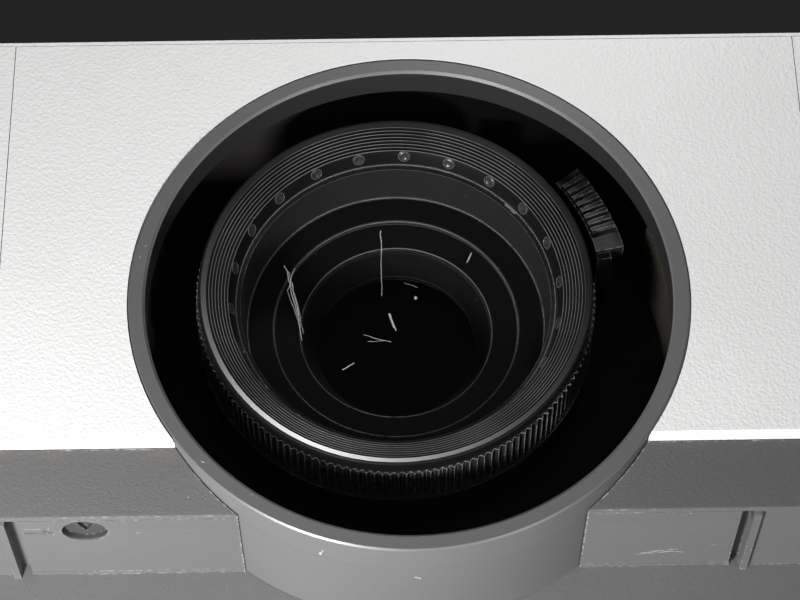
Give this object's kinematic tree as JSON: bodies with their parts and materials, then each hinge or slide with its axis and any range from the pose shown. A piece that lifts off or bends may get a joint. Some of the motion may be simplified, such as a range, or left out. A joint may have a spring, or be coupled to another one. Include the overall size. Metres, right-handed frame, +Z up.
{
  "type": "video projector",
  "caption": "Wide, low installation projector with a centred shifting lens in a round bezel, white covers over a grey undercut case, hinged lamp and dial doors on top.",
  "frame": {"origin": "under the middle of the body, on the table that its feet stand on", "axes": "+X right seen from the front, +Y from the lens face to the sockets, +Z up"},
  "size_m": [0.5, 0.36, 0.159],
  "materials": {
    "white_case": "fine leather grain",
    "grey_case": "fine spark-eroded texture",
    "bezel_grey": "smooth satin",
    "black_plastic": "satin moulded black",
    "lens_black": "black anodised",
    "foam": "open-cell foam",
    "glass": "coated optical glass",
    "window": "dark red infrared window",
    "steel": "ground",
    "sheet": "zinc plated",
    "zinc": "die cast",
    "circuit": "solder mask",
    "rubber": "matt",
    "brass": "turned",
    "keys": "satin",
    "lamp_lens": "clear diffusing",
    "ceramic": "lamp cartridge, heat resistant"
  },
  "bodies": {
    "chassis": {"base_case": "grey_case", "top_cover": "white_case", "front_panel": "white_case", "side_cover_left": "white_case", "side_cover_right": "white_case", "rear_panel": "grey_case", "ir_windows": "window", "lens_bezel": "bezel_grey", "lens_tunnel": "black_plastic", "foam_seals": "foam", "ledge_cover_left": "grey_case", "ledge_cover_right": "grey_case", "lens_mount_frame": "zinc", "vertical_guide_rods": "steel", "key_panel": "bezel_grey", "status_lamps": "lamp_lens", "optical_engine": "zinc", "lamp_housing": "sheet", "lamp_module": "ceramic", "lamp_ballast": "circuit", "power_supply": "sheet", "main_board": "circuit", "video_inputs": "sheet", "control_ports": "sheet", "speaker": "black_plastic", "ac_inlet": "black_plastic", "exhaust_fan_frame": "black_plastic", "rear_feet": "rubber", "ceiling_inserts": "brass", "case_screws": "steel"},
    "lift_carriage": {"vertical_carriage": "zinc", "horizontal_guide_rods": "steel"},
    "lens_unit": {"horizontal_carriage": "zinc", "light_shield": "black_plastic", "lens_barrel": "lens_black", "front_rim": "lens_black", "front_lens": "glass", "inner_lenses": "glass"},
    "focus_ring_body": {"focus_ring": "lens_black"},
    "zoom_ring_body": {"zoom_ring": "black_plastic"},
    "vertical_dial": {"vertical_shift_dial": "black_plastic"},
    "horizontal_dial": {"horizontal_shift_dial": "black_plastic"},
    "dial_door": {"shift_dial_door": "white_case"},
    "lamp_cover": {"lamp_door": "white_case"},
    "filter_unit": {"filter_cassette": "grey_case", "filter_foam": "foam"},
    "rocker": {"power_switch": "black_plastic"},
    "fan_rotor": {"exhaust_fan_rotor": "black_plastic"},
    "enter_key_body": {"enter_key": "keys"},
    "up_key_body": {"up_key": "keys"},
    "down_key_body": {"down_key": "keys"},
    "left_key_body": {"left_key": "keys"},
    "right_key_body": {"right_key": "keys"},
    "power_key_body": {"power_key": "keys"},
    "input_key_body": {"input_key": "keys"},
    "menu_key_body": {"menu_key": "keys"},
    "foot_leg_left": {"foot_stem_left": "steel"},
    "foot_turn_left": {"foot_pad_left": "rubber"},
    "foot_leg_right": {"foot_stem_right": "steel"},
    "foot_turn_right": {"foot_pad_right": "rubber"}
  },
  "joints": [
    {"name": "lens_lift", "type": "slide", "parent": "chassis", "child": "lift_carriage", "axis": [0, 0, 1], "range_m": [-0.01184, 0.00216]},
    {"name": "lens_traverse", "type": "slide", "parent": "lift_carriage", "child": "lens_unit", "axis": [1, 0, 0], "range_m": [-0.00307, 0.00893]},
    {"name": "focus_turn", "type": "hinge", "parent": "lens_unit", "child": "focus_ring_body", "pos_m": [-0.00293, -0.164, 0.09034], "axis": [0, 1, 0], "range_deg": [-55, 55]},
    {"name": "zoom_turn", "type": "hinge", "parent": "lens_unit", "child": "zoom_ring_body", "pos_m": [-0.00293, -0.153, 0.09034], "axis": [0, -1, 0], "range_deg": [0, 32]},
    {"name": "vertical_dial_turn", "type": "hinge", "parent": "chassis", "child": "vertical_dial", "pos_m": [-0.024, -0.11, 0.148], "axis": [0, 0, 1], "range_deg": [-246, 46]},
    {"name": "horizontal_dial_turn", "type": "hinge", "parent": "chassis", "child": "horizontal_dial", "pos_m": [0.024, -0.11, 0.148], "axis": [0, 0, 1], "range_deg": [-65, 186]},
    {"name": "dial_door_swing", "type": "hinge", "parent": "chassis", "child": "dial_door", "pos_m": [0, -0.0963, 0.1561], "axis": [-1, 0, 0], "range_deg": [0, 88]},
    {"name": "lamp_door_swing", "type": "hinge", "parent": "chassis", "child": "lamp_cover", "pos_m": [-0.152, 0.1287, 0.1561], "axis": [-1, 0, 0], "range_deg": [0, 88]},
    {"name": "filter_slide", "type": "slide", "parent": "chassis", "child": "filter_unit", "axis": [-1, 0, 0], "range_m": [0, 0.06]},
    {"name": "power_rocker", "type": "hinge", "parent": "chassis", "child": "rocker", "pos_m": [-0.15, 0.1755, 0.084], "axis": [1, 0, 0], "range_deg": [0, 16]},
    {"name": "fan_spin", "type": "hinge", "parent": "chassis", "child": "fan_rotor", "pos_m": [0.172, -0.16, 0.101], "axis": [0, 1, 0], "continuous": true},
    {"name": "enter_key_press", "type": "slide", "parent": "chassis", "child": "enter_key_body", "axis": [0, 0, -1], "range_m": [0, 0.0008], "stiffness_N_per_m": 300, "springref_m": -0.001},
    {"name": "up_key_press", "type": "slide", "parent": "chassis", "child": "up_key_body", "axis": [0, 0, -1], "range_m": [0, 0.0008], "stiffness_N_per_m": 300, "springref_m": -0.001},
    {"name": "down_key_press", "type": "slide", "parent": "chassis", "child": "down_key_body", "axis": [0, 0, -1], "range_m": [0, 0.0008], "stiffness_N_per_m": 300, "springref_m": -0.001},
    {"name": "left_key_press", "type": "slide", "parent": "chassis", "child": "left_key_body", "axis": [0, 0, -1], "range_m": [0, 0.0008], "stiffness_N_per_m": 300, "springref_m": -0.001},
    {"name": "right_key_press", "type": "slide", "parent": "chassis", "child": "right_key_body", "axis": [0, 0, -1], "range_m": [0, 0.0008], "stiffness_N_per_m": 300, "springref_m": -0.001},
    {"name": "power_key_press", "type": "slide", "parent": "chassis", "child": "power_key_body", "axis": [0, 0, -1], "range_m": [0, 0.0008], "stiffness_N_per_m": 300, "springref_m": -0.001},
    {"name": "input_key_press", "type": "slide", "parent": "chassis", "child": "input_key_body", "axis": [0, 0, -1], "range_m": [0, 0.0008], "stiffness_N_per_m": 300, "springref_m": -0.001},
    {"name": "menu_key_press", "type": "slide", "parent": "chassis", "child": "menu_key_body", "axis": [0, 0, -1], "range_m": [0, 0.0008], "stiffness_N_per_m": 300, "springref_m": -0.001},
    {"name": "foot_extend_left", "type": "slide", "parent": "chassis", "child": "foot_leg_left", "axis": [0, 0, -1], "range_m": [0, 0.015]},
    {"name": "foot_screw_left", "type": "hinge", "parent": "foot_leg_left", "child": "foot_turn_left", "pos_m": [-0.2, -0.114, 0.006], "axis": [0, 0, -1], "range_deg": [-5, 3605]},
    {"name": "foot_extend_right", "type": "slide", "parent": "chassis", "child": "foot_leg_right", "axis": [0, 0, -1], "range_m": [0, 0.015]},
    {"name": "foot_screw_right", "type": "hinge", "parent": "foot_leg_right", "child": "foot_turn_right", "pos_m": [0.2, -0.114, 0.006], "axis": [0, 0, -1], "range_deg": [-5, 3605]}
  ],
  "couplings": [
    {"joint": "vertical_dial_turn", "follows": "lens_lift", "rad_per_m": 360},
    {"joint": "horizontal_dial_turn", "follows": "lens_traverse", "rad_per_m": 360},
    {"joint": "foot_screw_left", "follows": "foot_extend_left", "rad_per_m": 4188.8},
    {"joint": "foot_screw_right", "follows": "foot_extend_right", "rad_per_m": 4188.8}
  ]
}
